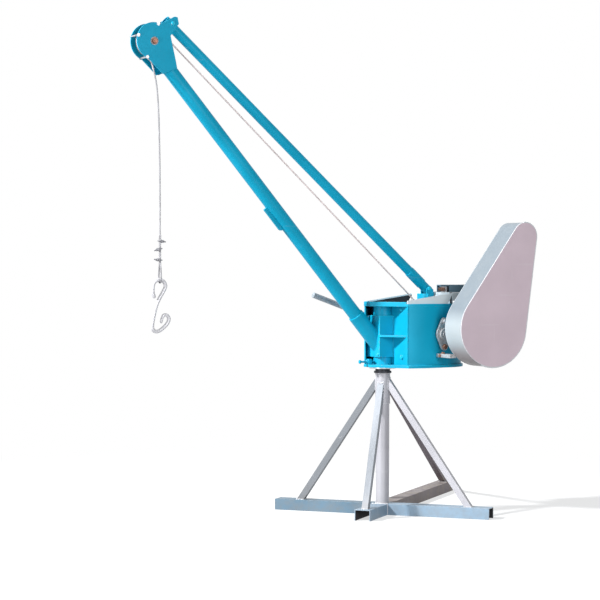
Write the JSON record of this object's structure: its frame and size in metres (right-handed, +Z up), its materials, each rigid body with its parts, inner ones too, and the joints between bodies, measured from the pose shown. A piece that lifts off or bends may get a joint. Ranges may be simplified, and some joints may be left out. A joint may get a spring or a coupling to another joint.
{
  "type": "portable mini crane",
  "caption": "Portable slewing mini crane: channel-steel cross base, braced column, turning head with rope winch, tube boom and stay, sheave, hook, bare motor platform and belt guard.",
  "frame": {"origin": "on the slewing axis at ground level, the plane of the base channels' lower edges", "axes": "+Z up along the column, boom towards -X in the plane y = 0, belt guard on the -Y side"},
  "size_m": [1.9704, 1.1093, 2.1468],
  "materials": {
    "stand_paint": "worn silver-blue paint with scratches and rust spots",
    "turquoise_paint": "semi-gloss turquoise paint, chipped at the edges",
    "pale_paint": "semi-gloss off-white paint, dusty",
    "platform_paint": "light grey paint, dusty",
    "guard_face_paint": "dull pinkish-grey primer",
    "rail_paint": "slate paint",
    "zinc": "zinc-plated, slightly dull",
    "steel": "bare steel with light rust",
    "dark_steel": "dark oiled steel",
    "rusty_steel": "rusted steel",
    "wire_rope": "stranded wire rope, greased"
  },
  "bodies": {
    "stand": {"cross_channel": "stand_paint", "front_back_arms": "stand_paint", "column": "stand_paint", "column_sleeve": "stand_paint", "thrust_collar": "dark_steel", "side_braces": "stand_paint", "brace_front": "stand_paint", "brace_back": "stand_paint"},
    "head": {"hub_tube": "turquoise_paint", "hub_box": "turquoise_paint", "hub_flange": "zinc", "bottom_plate": "turquoise_paint", "top_plate": "turquoise_paint", "hub_shelves": "turquoise_paint", "hub_side": "turquoise_paint", "housing_bulkheads": "turquoise_paint", "housing_wall": "turquoise_paint", "hub_slew_bolt": "dark_steel", "slewing_handle": "steel", "drum_bearings": "zinc", "boom_socket": "turquoise_paint", "boom_tube": "turquoise_paint", "boom_clip": "turquoise_paint", "stay_tube": "turquoise_paint", "stay_ears": "turquoise_paint", "stay_bolts": "zinc", "cheek_plates": "turquoise_paint", "cheek_rods": "zinc", "sheave_axle": "rusty_steel", "motor_platform": "platform_paint", "engine_rails": "rail_paint", "tension_bracket": "zinc", "tension_screw": "rusty_steel", "guard_face": "guard_face_paint", "guard_rim": "pale_paint", "guard_back": "pale_paint", "guard_spigot": "turquoise_paint", "guard_arm": "zinc", "rope_run": "wire_rope", "rope_fall": "wire_rope"},
    "drum": {"rope_drum": "wire_rope"},
    "sheave": {"sheave": "steel"},
    "rope_end": {"rope_eye": "wire_rope", "rope_clips": "zinc"},
    "hook": {"hook": "steel"}
  },
  "joints": [
    {"name": "slew", "type": "hinge", "parent": "stand", "child": "head", "pos_m": [0, 0, 0.655], "axis": [0, 0, 1], "continuous": true},
    {"name": "drum_spin", "type": "hinge", "parent": "head", "child": "drum", "pos_m": [0.198, 0, 0.804], "axis": [0, 1, 0], "range_deg": [-515, 309]},
    {"name": "sheave_spin", "type": "hinge", "parent": "head", "child": "sheave", "pos_m": [-1.12306, 0, 2.03715], "axis": [0, 1, 0], "range_deg": [-697, 418]},
    {"name": "hoist", "type": "slide", "parent": "head", "child": "rope_end", "axis": [0, 0, 1], "range_m": [-0.754, 0.4525], "deforming": ["rope_fall"]},
    {"name": "hook_swing", "type": "hinge", "parent": "rope_end", "child": "hook", "pos_m": [-1.08106, 0, 1.04315], "axis": [1, 0, 0], "range_deg": [-70, 70]}
  ],
  "couplings": [
    {"joint": "sheave_spin", "follows": "drum_spin", "ratio": 1.3516},
    {"joint": "hoist", "follows": "drum_spin", "m_per_rad": 0.0838}
  ]
}
